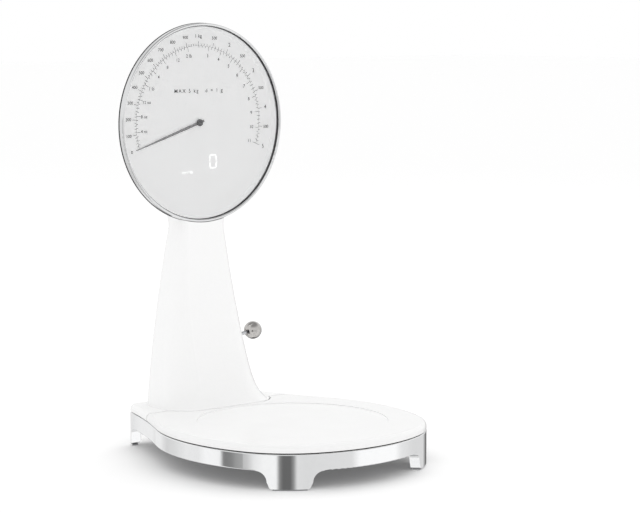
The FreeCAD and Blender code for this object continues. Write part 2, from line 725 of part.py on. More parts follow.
def charging_socket():
    y0 = PANEL_BACK - 7.6
    shell = box(-SOCKET_HALF_X, SOCKET_HALF_X, y0, PANEL_BACK - 0.3,
                SOCKET_Z - SOCKET_HALF_Z, SOCKET_Z + SOCKET_HALF_Z)
    rounds = [edge for edge in shell.Edges if edge.BoundBox.YMax - edge.BoundBox.YMin > 1]
    shell = shell.makeFillet(1.6, rounds)
    cavity = box(-SOCKET_HALF_X + 0.35, SOCKET_HALF_X - 0.35, y0 + 1, PANEL_BACK + 1,
                 SOCKET_Z - SOCKET_HALF_Z + 0.35, SOCKET_Z + SOCKET_HALF_Z - 0.35)
    rounds = [edge for edge in cavity.Edges if edge.BoundBox.YMax - edge.BoundBox.YMin > 1]
    cavity = cavity.makeFillet(1.3, rounds)
    tongue = box(-3.2, 3.2, y0 + 0.5, PANEL_BACK - 2, SOCKET_Z - 0.35, SOCKET_Z + 0.35)
    return shell.cut(cavity).fuse(tongue)


def socket_board():
    top = SOCKET_Z - SOCKET_HALF_Z
    return box(-9, 9, 98, PANEL_FRONT - 2.3, top - 1.2, top)


# ---------------------------------------------------------------- head
def dome_y(radius, grow):
    """Where the dome's round shoulder lies at a radius, with the form grown by grow."""
    reach = DOME_RADIUS + grow
    return DOME_CENTRE_Y + math.sqrt(reach ** 2 - (radius - DOME_CENTRE_R) ** 2)


def dome_solid(front, start_r, edge_r, grow):
    """Turned body: straight steps from the axis out, round shoulder, shallow back."""
    start, middle, edge = [rim_point(radius, dome_y(radius, grow))
                           for radius in (start_r, (start_r + edge_r) / 2, edge_r)]
    points = [rim_point(*spot) for spot in front] + [start]
    back = rim_point(0, HOUSING_BACK + grow)
    edges = [line(points[i], points[i + 1]) for i in range(len(points) - 1)]
    edges += [Part.Arc(start, middle, edge).toShape(), line(edge, back), line(back, points[0])]
    return turned(edges, DIAL_Z)


def head_housing():
    rim = [(0, RIM_FRONT), (RIM_RADIUS, RIM_FRONT), (RIM_RADIUS, BEZEL_BACK + RIM_GAP)]
    body = dome_solid(rim, SHOULDER_R, DOME_EDGE_R, 0)
    body = body.fuse(box(-18, 18, 103.4, 112.4, 164, 200))
    front_bore = SPACER_FRONT[1] + RIM_GAP
    steps = [(0, RIM_FRONT - 1), (front_bore, RIM_FRONT - 1), (front_bore, RIM_FRONT),
             (SPACER_BACK[1] + RIM_GAP, DIAL_FACE), (RIM_BORE, DIAL_FACE), (RIM_BORE, DIAL_BACK),
             (DIAL_LEDGE, DIAL_BACK)]
    body = body.cut(dome_solid(steps, DIAL_LEDGE, DOME_EDGE_R - 1, -HOUSING_WALL))
    # the way for the ribbon cable, down through the spigot
    body = body.cut(box(-15.8, 15.8, 105.4, 110.4, 160, 200))
    for x in HEAD_SCREWS:
        body = body.cut(rod(V(x, 109, HEAD_SCREW_Z), Y_AXIS, SCREW_RADIUS, 6))
    return body.removeSplitter()


def bezel():
    """Slim chrome ring: half-round lip over the glass, skirt round the housing's rim."""
    lip_back = GLASS_FRONT - RIM_GAP
    crown = (BEZEL_RADIUS - BEZEL_BORE) / 2
    seat = RIM_RADIUS + RIM_GAP
    skirt = [(BEZEL_RADIUS, BEZEL_FRONT + crown), (BEZEL_RADIUS, BEZEL_BACK - 0.4),
             (BEZEL_RADIUS - 0.4, BEZEL_BACK), (seat, BEZEL_BACK), (seat, lip_back),
             (BEZEL_BORE, lip_back), (BEZEL_BORE, BEZEL_FRONT + crown)]
    points = [rim_point(*spot) for spot in skirt]
    edges = [line(points[i], points[i + 1]) for i in range(len(points) - 1)]
    lip = Part.Arc(points[-1], rim_point(BEZEL_BORE + crown, BEZEL_FRONT), points[0]).toShape()
    return turned(edges + [lip], DIAL_Z)


def head_ring(inner, outer, y0, y1):
    return turned_polygon([(inner, y0), (outer, y0), (outer, y1), (inner, y1)])


def dial_spacer():
    """Pale cone that runs from the glass down to the dial's edge."""
    return turned_polygon([(SPACER_FRONT[0], RIM_FRONT), (SPACER_FRONT[1], RIM_FRONT),
                           (SPACER_BACK[1], DIAL_FACE), (SPACER_BACK[0], DIAL_FACE)])


DRIVE_SCREW_X = 14.9
STUD_END = 103.0


def dial_plate():
    disc = rod(V(0, DIAL_FACE, DIAL_Z), Y_AXIS, RIM_BORE - RIM_GAP, DIAL_BACK - DIAL_FACE)
    for x in (-DRIVE_SCREW_X, DRIVE_SCREW_X):
        stud = rod(V(x, DIAL_BACK - 0.2, DIAL_Z), Y_AXIS, 2.2, STUD_END - DIAL_BACK + 0.2)
        disc = disc.fuse(stud).cut(rod(V(x, DIAL_BACK + 0.2, DIAL_Z), Y_AXIS, 1.0, 4))
    return disc.cut(rod(V(0, DIAL_FACE - 1, DIAL_Z), Y_AXIS, 1.6, 4))


LED_TOP = DIAL_Z - 26.2
LED_BOTTOM = DIAL_Z - 38.4
LED_BACK = DIAL_BACK + 1.4


def led_display():
    return box(-22, 22, DIAL_BACK, LED_BACK, LED_BOTTOM, LED_TOP)


def unit_indicator():
    return box(-18, -6, DIAL_BACK, LED_BACK, DIAL_Z - 42.4, LED_BOTTOM - 0.2)


def led_board():
    board = box(-27, 27, LED_BACK, LED_BACK + 1.6, DIAL_Z - 46, DIAL_Z - 21)
    for x in (-24, 24):
        board = board.cut(rod(V(x, LED_BACK - 1, DIAL_Z - 43), Y_AXIS, 1.3, 4))
    return board


# ---------------------------------------------------------------- gauge drive
CASE_HALF = 12.5
CASE_LOW = DIAL_Z - 12.5
CASE_HIGH = DIAL_Z + 18.5
CASE_FRONT = 102.6
CASE_BACK = 108.6
CASE_WALL = 1.2
ROTOR_Z = DIAL_Z + GEAR_DISTANCE
ROTOR_FRONT = GEAR_FRONT - 0.4
ROTOR_BACK = 116.5
ARBOR_FRONT = 98.0
ARBOR_BACK = 111.0


def gear(teeth, centre_z, phase, bore):
    """Straight-toothed gear about Y with trimmed flanks, so that the pair runs with backlash."""
    pitch = GEAR_MODULE * teeth / 2.0
    root = pitch - 1.25 * GEAR_MODULE
    tip = pitch + 0.85 * GEAR_MODULE
    step = 2 * math.pi / teeth
    points = []
    for index in range(teeth):
        middle = phase + index * step
        for radius, share in ((root, -0.30), (pitch, -0.21), (tip, -0.10),
                              (tip, 0.10), (pitch, 0.21), (root, 0.30)):
            angle = middle + share * step
            points.append(V(radius * math.sin(angle), GEAR_FRONT,
                            centre_z + radius * math.cos(angle)))
    wheel = polygon(points).extrude(V(0, GEAR_BACK - GEAR_FRONT, 0))
    return wheel.cut(rod(V(0, GEAR_FRONT - 1, centre_z), Y_AXIS, bore, 5))


def drive_gear():
    return gear(GEAR_TEETH, DIAL_Z, 0.0, ARBOR_RADIUS)


def motor_pinion():
    return gear(PINION_TEETH, ROTOR_Z, math.pi + math.pi / PINION_TEETH, ROTOR_RADIUS)


def pointer_arbor():
    return rod(V(0, ARBOR_FRONT, DIAL_Z), Y_AXIS, ARBOR_RADIUS, ARBOR_BACK - ARBOR_FRONT)


def rotor_shaft():
    return rod(V(0, ROTOR_FRONT, ROTOR_Z), Y_AXIS, ROTOR_RADIUS, ROTOR_BACK - ROTOR_FRONT)


def drive_case():
    """Open tray behind the dial that carries the arbor's front bearing and the motor."""
    outer = box(-CASE_HALF, CASE_HALF, CASE_FRONT, CASE_BACK, CASE_LOW, CASE_HIGH)
    cavity = box(-CASE_HALF + CASE_WALL, CASE_HALF - CASE_WALL, CASE_FRONT + CASE_WALL, CASE_BACK + 1,
                 CASE_LOW + CASE_WALL, CASE_HIGH - CASE_WALL)
    case = outer.cut(cavity)
    case = case.fuse(rod(V(0, DIAL_BACK, DIAL_Z), Y_AXIS, 3.4, CASE_FRONT - DIAL_BACK + 0.5))
    for x0 in (-CASE_HALF - 4.8, CASE_HALF - 0.2):
        case = case.fuse(box(x0, x0 + 5, STUD_END, CASE_BACK + CASE_WALL, DIAL_Z - 4, DIAL_Z + 4))
    for x in (-DRIVE_SCREW_X, DRIVE_SCREW_X):
        case = case.cut(rod(V(x, DIAL_BACK, DIAL_Z), Y_AXIS, 1.1, 12))
    case = case.cut(box(-CASE_HALF, CASE_HALF, CASE_BACK, CASE_BACK + 2, DIAL_Z - 5, DIAL_Z + 5))
    return case.cut(rod(V(0, DIAL_BACK - 1, DIAL_Z), Y_AXIS, ARBOR_RADIUS + RUN_CLEARANCE, 5))


def drive_case_lid():
    lid = box(-CASE_HALF, CASE_HALF, CASE_BACK, CASE_BACK + CASE_WALL, CASE_LOW, CASE_HIGH)
    lid = lid.fuse(rod(V(0, CASE_BACK, DIAL_Z), Y_AXIS, 3.0, 3.0))
    lid = lid.cut(rod(V(0, CASE_BACK - 1, DIAL_Z), Y_AXIS, ARBOR_RADIUS + RUN_CLEARANCE, 6))
    return lid.cut(rod(V(0, CASE_BACK - 1, ROTOR_Z), Y_AXIS, ROTOR_RADIUS + 0.4, 6))


def gauge_motor():
    front = CASE_BACK + CASE_WALL
    can = rod(V(0, front, ROTOR_Z), Y_AXIS, 8.0, 8.0)
    can = can.makeFillet(0.8, [edge for edge in can.Edges if edge.BoundBox.YMin > front + 7.9])
    return can.cut(rod(V(0, front - 1, ROTOR_Z), Y_AXIS, ROTOR_RADIUS + RUN_CLEARANCE, 8.2))


def drive_screws():
    front = CASE_BACK + CASE_WALL
    screws = []
    for x in (-DRIVE_SCREW_X, DRIVE_SCREW_X):
        screws.append(screw(V(x, front, DIAL_Z), -Y_AXIS, 8.3, 1.0, 2.0))
    return group(screws)


# ---------------------------------------------------------------- pointer
POINTER_TIP = 65.5
POINTER_TAIL = 5.0
POINTER_FRONT = 98.7
POINTER_THICK = 0.6


def pointer():
    """Tapered needle that lies on the zero mark at rest."""
    shape = [(-POINTER_TAIL, 0.9), (0.0, 1.15), (POINTER_TIP * 0.55, 0.85), (POINTER_TIP, 0.2)]
    upper = [V(-along, POINTER_FRONT, half) for along, half in shape]
    lower = [V(-along, POINTER_FRONT, -half) for along, half in reversed(shape)]
    needle = polygon(upper + lower).extrude(V(0, POINTER_THICK, 0))
    hub = rod(V(0, POINTER_FRONT, 0), Y_AXIS, 2.6, POINTER_THICK + 0.5)
    needle = needle.fuse(hub).cut(rod(V(0, POINTER_FRONT - 1, 0), Y_AXIS, ARBOR_RADIUS, 4))
    needle.rotate(V(0, 0, 0), Y_AXIS, -ZERO_DEG)
    needle.translate(V(0, 0, DIAL_Z))
    return needle


def pointer_cap():
    cap = rod(V(0, POINTER_FRONT - 1.3, DIAL_Z), Y_AXIS, 2.9, 1.3)
    cap = cap.makeFillet(0.6, [edge for edge in cap.Edges
                               if edge.BoundBox.YMax < POINTER_FRONT - 1.29])
    return cap.cut(rod(V(0, POINTER_FRONT - 0.8, DIAL_Z), Y_AXIS, ARBOR_RADIUS, 4))


# ---------------------------------------------------------------- tare lever and switch
BRACKET_X0 = 3.0
BRACKET_X1 = 27.0
BRACKET_LOW = 66.0
BRACKET_HIGH = 100.0
EAR_FRONT = 94.5
EAR_BACK = 107.5
EAR_THICK = 2.0
NOSE_X = PIVOT_X - NOSE_ARM
ARM_END_X = 6.0
SPRING_X = 8.2
BRACKET_SCREWS = [(23.5, 92.0), (13.0, 71.5)]


def lever_bracket():
    """Box of four walls, open towards +X and -X, that holds the pivot, switch and spring."""
    outer = box(BRACKET_X0, BRACKET_X1, EAR_FRONT, EAR_BACK, BRACKET_LOW, BRACKET_HIGH)
    inner = box(BRACKET_X0 - 1, BRACKET_X1 + 1, EAR_FRONT + EAR_THICK, EAR_BACK - EAR_THICK,
                BRACKET_LOW + 2, BRACKET_HIGH - 2)
    stop = box(BRACKET_X0, BRACKET_X0 + 4.6, EAR_FRONT + EAR_THICK - 0.2, EAR_BACK - EAR_THICK + 0.2,
               BRACKET_LOW + 1.8, PIVOT_Z - 1.7)
    bracket = fuse([outer.cut(inner), stop])
    for x, z in BRACKET_SCREWS:
        bracket = bracket.cut(rod(V(x, EAR_FRONT - 1, z), Y_AXIS, SCREW_RADIUS + 0.2, 4))
    return bracket.cut(rod(V(PIVOT_X, EAR_FRONT - 1, PIVOT_Z), Y_AXIS, PIN_RADIUS, 16))


def bracket_screws():
    front = EAR_FRONT + EAR_THICK
    return group([screw(V(x, front, z), -Y_AXIS, 6.5) for x, z in BRACKET_SCREWS])


def lever_pivot_pin():
    pin = rod(V(PIVOT_X, EAR_FRONT - 0.6, PIVOT_Z), Y_AXIS, PIN_RADIUS, EAR_BACK - EAR_FRONT + 1.4)
    return pin.fuse(rod(V(PIVOT_X, EAR_FRONT - 1.4, PIVOT_Z), Y_AXIS, 2.4, 1.4))


def tilted(shape):
    """Turns a shape built along +X from the pivot into the stem's direction."""
    shape.rotate(V(0, 0, 0), Y_AXIS, -LEVER_SLOPE)
    shape.translate(V(PIVOT_X, PIVOT_Y, PIVOT_Z))
    return shape


def lever_hub():
    hub = rod(V(PIVOT_X, PIVOT_Y - 3.8, PIVOT_Z), Y_AXIS, 4.6, 7.6)
    arm = box(ARM_END_X, PIVOT_X, PIVOT_Y - 2, PIVOT_Y + 2, PIVOT_Z - 1.6, PIVOT_Z + 1.6)
    nose = rod(V(NOSE_X, PIVOT_Y - 2, PIVOT_Z), Y_AXIS, NOSE_RADIUS, 4)
    sleeve = tilted(rod(V(3, 0, 0), X_AXIS, 2.9, 7.5))
    hub = fuse([hub, arm, nose, sleeve])
    hub = hub.cut(tilted(rod(V(4.4, 0, 0), X_AXIS, STEM_RADIUS, 8)))
    return hub.cut(rod(V(PIVOT_X, PIVOT_Y - 5, PIVOT_Z), Y_AXIS, PIN_RADIUS + RUN_CLEARANCE, 10))


def lever_stem():
    return tilted(rod(V(4.4, 0, 0), X_AXIS, STEM_RADIUS, LEVER_REACH - 4.4))


def lever_knob():
    ball = Part.makeSphere(KNOB_RADIUS, V(LEVER_REACH, 0, 0))
    ball = ball.cut(rod(V(LEVER_REACH - KNOB_RADIUS - 1, 0, 0), X_AXIS, STEM_RADIUS, KNOB_RADIUS + 1))
    ball = ball.cut(rod(V(LEVER_REACH - KNOB_RADIUS - 1, 0, 0), X_AXIS, 2.7, 2.6))
    return tilted(ball)


PLUNGER_BOTTOM = PIVOT_Z + NOSE_RADIUS + NOSE_GAP
SWITCH_BOTTOM = 86.0


def tare_switch():
    body = box(NOSE_X - 3.0, NOSE_X + 3.0, PIVOT_Y - 3, PIVOT_Y + 3, SWITCH_BOTTOM, BRACKET_HIGH - 2)
    return body.cut(rod(V(NOSE_X, PIVOT_Y, SWITCH_BOTTOM - 1), Z_AXIS, PLUNGER_RADIUS + RUN_CLEARANCE, 7.5))


def switch_plunger():
    return rod(V(NOSE_X, PIVOT_Y, PLUNGER_BOTTOM), Z_AXIS, PLUNGER_RADIUS, 8.4)


def lever_spring():
    """Light compression spring that pushes the inner arm back on its stop."""
    wire = 0.25
    low = PIVOT_Z + 1.6 + wire
    high = BRACKET_HIGH - 2 - wire
    turns = 7
    path = Part.makeHelix((high - low) / turns, high - low, 1.3)
    section = Part.Wire(Part.Circle(V(1.3, 0, 0), Y_AXIS, wire).toShape())
    coil = Part.Wire(path.Edges).makePipeShell([section], True, True)
    coil.translate(V(SPRING_X, PIVOT_Y, low))
    return coil


# ---------------------------------------------------------------- electronics in the base
def main_board():
    x0, x1, y0, y1 = BOARD_BOX
    board = box(x0, x1, y0, y1, BOARD_BOTTOM, BOARD_TOP)
    for x, y in BOARD_POSTS:
        board = board.cut(rod(V(x, y, BOARD_BOTTOM - 1), Z_AXIS, 1.2, 4))
    return board


def board_components():
    top = BOARD_TOP
    return group([
        box(-6, 6, 50, 62, top, top + 1.4),
        box(12, 19, 44, 50, top, top + 1.2),
        box(12, 18, 60, 70, top, top + 3.0),
        box(-22, -16, 46, 49, top, top + 2.0),
        box(-22, -6, 70, 75, top, top + 3.4),
        rod(V(22, 54, top), Z_AXIS, 2.5, 4.6),
    ])


def board_screws():
    return group([screw(V(x, y, BOARD_TOP), -Z_AXIS, 4.2, 0.9, 1.9) for x, y in BOARD_POSTS])


def battery_pack():
    pack = box(-72, -20, -48, -10, COVER_TOP + 0.2, COVER_TOP + 7.2)
    return pack.makeFillet(1.5, pack.Edges)


def battery_tape():
    return box(-70, -22, -46, -12, COVER_TOP, COVER_TOP + 0.2)


def battery_lead():
    return box(-31, -28.6, -10, 35.6, BOARD_TOP, BOARD_TOP + 1.2)


def load_cell_lead():
    return box(-2.4, 2.4, CELL_FIXED_Y, 46, BOARD_TOP + 0.1, BOARD_TOP + 1.1)


def display_ribbon():
    """Flat cable down the column, from the display board to the main board."""
    x0, x1 = -15.0, -9.6
    upright = box(x0, x1, 107.0, 107.5, 30, DIAL_Z - 30)
    across = box(x0, x1, 76.5, 107.5, 29.5, 30)
    down = box(x0, x1, 76.5, 77.0, BOARD_TOP, 30)
    return fuse([upright, across, down])


# ---------------------------------------------------------------- write every piece
def main():
    os.makedirs("parts", exist_ok=True)
    pieces = {
        "base_ring": base_ring(),
        "foot_pads": foot_pads(),
        "bottom_cover": bottom_cover(),
        "cover_screws": cover_screws(),
        "load_cell": load_cell(),
        "strain_gauges": strain_gauges(),
        "load_cell_spacer": cell_block(CELL_FIXED_Y - CELL_END, CELL_FIXED_Y, COVER_TOP, CELL_BOTTOM,
                                       CELL_FIXED_SCREWS),
        "load_cell_screws": cell_fixed_screws(),
        "main_board": main_board(),
        "board_components": board_components(),
        "board_screws": board_screws(),
        "battery_pack": battery_pack(),
        "battery_tape": battery_tape(),
        "battery_lead": battery_lead(),
        "load_cell_lead": load_cell_lead(),
        "display_ribbon": display_ribbon(),
        "column_shell": column_shell(),
        "column_back_panel": column_back_panel(),
        "column_screws": column_screws(),
        "column_foot_screws": column_foot_screws(),
        "charging_socket": charging_socket(),
        "socket_board": socket_board(),
        "lever_escutcheon": lever_escutcheon(),
        "lever_bracket": lever_bracket(),
        "bracket_screws": bracket_screws(),
        "lever_pivot_pin": lever_pivot_pin(),
        "lever_spring": lever_spring(),
        "tare_switch": tare_switch(),
        "head_housing": head_housing(),
        "head_screws": head_screws(),
        "bezel": bezel(),
        "dial_glass": head_ring(0, RIM_RADIUS, GLASS_FRONT, GLASS_BACK),
        "glass_gasket": head_ring(GASKET_BORE, RIM_RADIUS, GLASS_BACK, RIM_FRONT),
        "dial_spacer": dial_spacer(),
        "dial_plate": dial_plate(),
        "led_display": led_display(),
        "unit_indicator": unit_indicator(),
        "led_board": led_board(),
        "drive_case": drive_case(),
        "drive_case_lid": drive_case_lid(),
        "drive_screws": drive_screws(),
        "gauge_motor": gauge_motor(),
        "weighing_plate": weighing_plate(),
        "platform_spider": platform_spider(),
        "platform_spacer": cell_block(CELL_FREE_Y, CELL_FREE_Y + CELL_END, CELL_TOP, SPIDER_BOTTOM,
                                      CELL_FREE_SCREWS),
        "platform_screws": cell_free_screws(),
        "plate_retainers": plate_retainers(),
        "pointer": pointer(),
        "pointer_cap": pointer_cap(),
        "pointer_arbor": pointer_arbor(),
        "drive_gear": drive_gear(),
        "rotor_shaft": rotor_shaft(),
        "motor_pinion": motor_pinion(),
        "lever_hub": lever_hub(),
        "lever_stem": lever_stem(),
        "lever_knob": lever_knob(),
        "switch_plunger": switch_plunger(),
    }
    for name, shape in pieces.items():
        save(name, shape)
    print(len(pieces), "nodes")


main()
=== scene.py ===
import math

import bmesh
import bpy
from mathutils import Matrix, Vector


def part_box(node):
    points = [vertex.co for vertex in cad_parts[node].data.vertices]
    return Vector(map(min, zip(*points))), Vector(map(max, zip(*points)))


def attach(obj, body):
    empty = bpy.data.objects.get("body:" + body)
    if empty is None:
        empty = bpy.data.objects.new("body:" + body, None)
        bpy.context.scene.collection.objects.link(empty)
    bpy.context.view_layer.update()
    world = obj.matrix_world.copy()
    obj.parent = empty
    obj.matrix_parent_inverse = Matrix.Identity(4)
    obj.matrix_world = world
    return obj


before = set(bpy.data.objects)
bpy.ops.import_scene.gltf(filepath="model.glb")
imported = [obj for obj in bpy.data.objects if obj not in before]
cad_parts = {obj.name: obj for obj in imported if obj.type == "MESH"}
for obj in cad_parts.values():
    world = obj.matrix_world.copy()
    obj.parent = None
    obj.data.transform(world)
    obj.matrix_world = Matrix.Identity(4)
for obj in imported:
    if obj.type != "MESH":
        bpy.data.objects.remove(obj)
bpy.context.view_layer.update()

# A retro kitchen scale: a round dial head on a white column, over a weighing plate on a chromed ring.
# Metres throughout. The dial faces -Y, and places are worked out from the frame's own nodes.
MM = 0.001

# ---------------------------------------------------------------- camera
CAMERA_AT = Vector((-1.0664, -1.3137, 0.3524))
CAMERA_TARGET = Vector((0.0023, -0.0516, 0.1664))
CAMERA_LENS = 121.25
CAMERA_SENSOR = 36.0


def add_camera():
    data = bpy.data.cameras.new("camera")
    data.lens = CAMERA_LENS
    data.sensor_width = CAMERA_SENSOR
    camera = bpy.data.objects.new("camera", data)
    camera.location = CAMERA_AT
    camera.rotation_euler = (CAMERA_TARGET - CAMERA_AT).to_track_quat("-Z", "Y").to_euler()
    bpy.context.scene.collection.objects.link(camera)
    bpy.context.scene.camera = camera


# ---------------------------------------------------------------- node helpers
def add_node(tree, kind, **values):
    """A new shader node, with values for the inputs of the same names."""
    node = tree.nodes.new(kind)
    for key, value in values.items():
        node.inputs[key.title()].default_value = value
    return node


def maths(tree, operation, first, second):
    """Output of a Math node on two values, each a socket or a number."""
    node = tree.nodes.new("ShaderNodeMath")
    node.operation = operation
    for socket, value in zip(node.inputs, (first, second)):
        if isinstance(value, (int, float)):
            socket.default_value = value
        else:
            tree.links.new(value, socket)
    return node.outputs[0]


def fill_ramp(ramp, stops):
    """Gives a colour ramp its grey stops, as (place, level) pairs."""
    elements = ramp.color_ramp.elements
    while len(elements) > 1:
        elements.remove(elements[-1])
    for index, (place, level) in enumerate(stops):
        element = elements[0] if index == 0 else elements.new(place)
        element.position = place
        element.color = (level, level, level, 1.0)


# ---------------------------------------------------------------- studio
# Brightness of the studio's walls round the compass, as (degrees from +X towards +Y, level): white
# screens with dark gaps between them. They are what the chrome shows.
WALLS = [
    (-180, 0.62), (-172, 0.84), (-160, 0.95), (-145, 0.96), (-141, 0.26), (-137, 0.14), (-128, 0.14),
    (-124, 0.30), (-120, 0.76), (-110, 0.74), (-70, 0.77), (-64, 1.02), (-31, 1.04), (-25, 0.84),
    (-10, 0.73), (16, 0.73), (28, 0.20), (46, 0.12), (60, 0.16), (68, 0.34), (77, 0.88), (88, 0.88),
    (100, 0.68), (112, 0.74), (126, 0.86), (137, 0.84), (144, 0.97), (156, 0.95), (159, 0.20),
    (165, 0.24), (172, 0.42), (180, 0.62),
]
# Above eye level the walls turn into an even screen, and that into a dimmer ceiling. Each has its
# brightness, and the heights of the view direction where it starts and where it is complete.
UPPER_LEVEL = 0.9
UPPER_START = 0.02
UPPER_FULL = 0.09
CEILING_LEVEL = 0.4
CEILING_START = 0.45
CEILING_FULL = 0.9

FLOOR_HALF = 12.0
FLOOR_WHITE = 0.9
FLOOR_GLOW = 0.1
KEY_PLACE = (0.9, 0.5, 1.6)
KEY_TARGET = (0, 0, 0.1)
KEY_WIDTH = 1.2
KEY_WATTS = 5.0


def blend_above(tree, colour, height, level, low, high):
    """The colour, turning into a plain level as the view direction's height goes from low to high."""
    rise = tree.nodes.new("ShaderNodeMapRange")
    rise.interpolation_type = "SMOOTHSTEP"
    rise.inputs["From Min"].default_value = low
    rise.inputs["From Max"].default_value = high
    tree.links.new(height, rise.inputs["Value"])
    blend = tree.nodes.new("ShaderNodeMix")
    blend.data_type = "RGBA"
    blend.inputs["B"].default_value = (level,) * 3 + (1.0,)
    tree.links.new(rise.outputs[0], blend.inputs["Factor"])
    tree.links.new(colour, blend.inputs["A"])
    return blend.outputs["Result"]


def add_world():
    """Even white light for the scene; mirror-like surfaces see the studio's walls instead."""
    world = bpy.data.worlds.new("studio")
    bpy.context.scene.world = world
    world.use_nodes = True
    tree = world.node_tree
    tree.nodes.clear()
    direction = tree.nodes.new("ShaderNodeTexCoord").outputs["Generated"]
    split = tree.nodes.new("ShaderNodeSeparateXYZ")
    tree.links.new(direction, split.inputs[0])
    turn = maths(tree, "ARCTAN2", split.outputs["Y"], split.outputs["X"])
    place = maths(tree, "ADD", maths(tree, "DIVIDE", turn, 2 * math.pi), 0.5)
    walls = tree.nodes.new("ShaderNodeValToRGB")
    fill_ramp(walls, [((degrees + 180) / 360, level) for degrees, level in WALLS])
    tree.links.new(place, walls.inputs[0])
    studio = walls.outputs["Color"]
    for level, low, high in ((UPPER_LEVEL, UPPER_START, UPPER_FULL),
                             (CEILING_LEVEL, CEILING_START, CEILING_FULL)):
        studio = blend_above(tree, studio, split.outputs["Z"], level, low, high)
    seen = tree.nodes.new("ShaderNodeBackground")
    tree.links.new(studio, seen.inputs["Color"])
    plain = tree.nodes.new("ShaderNodeBackground")
    plain.inputs["Color"].default_value = (1.0, 1.0, 1.0, 1.0)
    paths = tree.nodes.new("ShaderNodeLightPath")
    mix = tree.nodes.new("ShaderNodeMixShader")
    mirrored = maths(tree, "SUBTRACT", paths.outputs["Is Glossy Ray"], paths.outputs["Is Transmission Ray"])
    tree.links.new(maths(tree, "MAXIMUM", mirrored, 0.0), mix.inputs["Fac"])
    tree.links.new(plain.outputs[0], mix.inputs[1])
    tree.links.new(seen.outputs[0], mix.inputs[2])
    output = tree.nodes.new("ShaderNodeOutputWorld")
    tree.links.new(mix.outputs[0], output.inputs["Surface"])


def add_floor():
    """A wide pale floor, lifted a little by its own glow; mirror-like surfaces don't see it."""
    mesh = bpy.data.meshes.new("floor")
    signs = [(-1, -1), (1, -1), (1, 1), (-1, 1)]
    mesh.from_pydata([(x * FLOOR_HALF, y * FLOOR_HALF, 0) for x, y in signs], [], [(0, 1, 2, 3)])
    floor = bpy.data.objects.new("floor", mesh)
    bpy.context.scene.collection.objects.link(floor)
    paint = bpy.data.materials.new("floor_paint")
    paint.use_nodes = True
    shader = paint.node_tree.nodes["Principled BSDF"]
    shader.inputs["Base Color"].default_value = (FLOOR_WHITE,) * 3 + (1.0,)
    shader.inputs["Roughness"].default_value = 0.9
    shader.inputs["Specular IOR Level"].default_value = 0.1
    shader.inputs["Emission Color"].default_value = (1.0, 1.0, 1.0, 1.0)
    shader.inputs["Emission Strength"].default_value = FLOOR_GLOW
    mesh.materials.append(paint)
    floor.visible_glossy = False


def add_key_lamp():
    """A soft round lamp, behind and above the scale at its right."""
    data = bpy.data.lights.new("key", "AREA")
    data.shape = "DISK"
    data.size = KEY_WIDTH
    data.energy = KEY_WATTS
    lamp = bpy.data.objects.new("key", data)
    lamp.location = KEY_PLACE
    lamp.rotation_euler = (Vector(KEY_TARGET) - Vector(KEY_PLACE)).to_track_quat("-Z", "Y").to_euler()
    lamp.visible_glossy = False
    bpy.context.scene.collection.objects.link(lamp)


# ---------------------------------------------------------------- finishes
# The middle stretch of a noise's output, which carries nearly all of its variation.
NOISE_LOW = 0.3
NOISE_HIGH = 0.7


def finish_material(name, colour, rough, metal=0.0, shade=0.03, grain=600.0, smudge=0.04, patch=30.0,
                    relief=0.05, depth=0.0002, stretch=(1, 1, 1), sockets=None):
    """A surface whose colour, roughness and relief all vary with noise in the object's own space.

    grain and patch are noise scales per metre: the fine one drives colour and relief, the broad one
    roughness. stretch draws the fine noise out into brushing."""
    made = bpy.data.materials.new(name)
    made.use_nodes = True
    tree = made.node_tree
    shader = tree.nodes["Principled BSDF"]
    shader.inputs["Metallic"].default_value = metal
    for key, value in (sockets or {}).items():
        shader.inputs[key].default_value = value
    place = tree.nodes.new("ShaderNodeTexCoord").outputs["Object"]
    mapping = add_node(tree, "ShaderNodeMapping", scale=stretch)
    tree.links.new(place, mapping.inputs["Vector"])
    fine = add_node(tree, "ShaderNodeTexNoise", scale=grain, detail=3.0)
    tree.links.new(mapping.outputs[0], fine.inputs["Vector"])
    broad = add_node(tree, "ShaderNodeTexNoise", scale=patch, detail=2.0)
    tree.links.new(place, broad.inputs["Vector"])
    tint = tree.nodes.new("ShaderNodeValToRGB")
    tint.color_ramp.elements[0].position = NOISE_LOW
    tint.color_ramp.elements[1].position = NOISE_HIGH
    for element, factor in zip(tint.color_ramp.elements, (1 - shade, 1 + shade)):
        element.color = tuple(min(1.0, c * factor) for c in colour) + (1.0,)
    tree.links.new(fine.outputs["Fac"], tint.inputs[0])
    tree.links.new(tint.outputs["Color"], shader.inputs["Base Color"])
    gloss = tree.nodes.new("ShaderNodeMapRange")
    gloss.inputs["From Min"].default_value = NOISE_LOW
    gloss.inputs["From Max"].default_value = NOISE_HIGH
    gloss.inputs["To Min"].default_value = max(0.0, rough - smudge)
    gloss.inputs["To Max"].default_value = rough + smudge
    tree.links.new(broad.outputs["Fac"], gloss.inputs["Value"])
    tree.links.new(gloss.outputs[0], shader.inputs["Roughness"])
    bump = tree.nodes.new("ShaderNodeBump")
    bump.inputs["Strength"].default_value = relief
    bump.inputs["Distance"].default_value = depth
    tree.links.new(fine.outputs["Fac"], bump.inputs["Height"])
    tree.links.new(bump.outputs["Normal"], shader.inputs["Normal"])
    return made


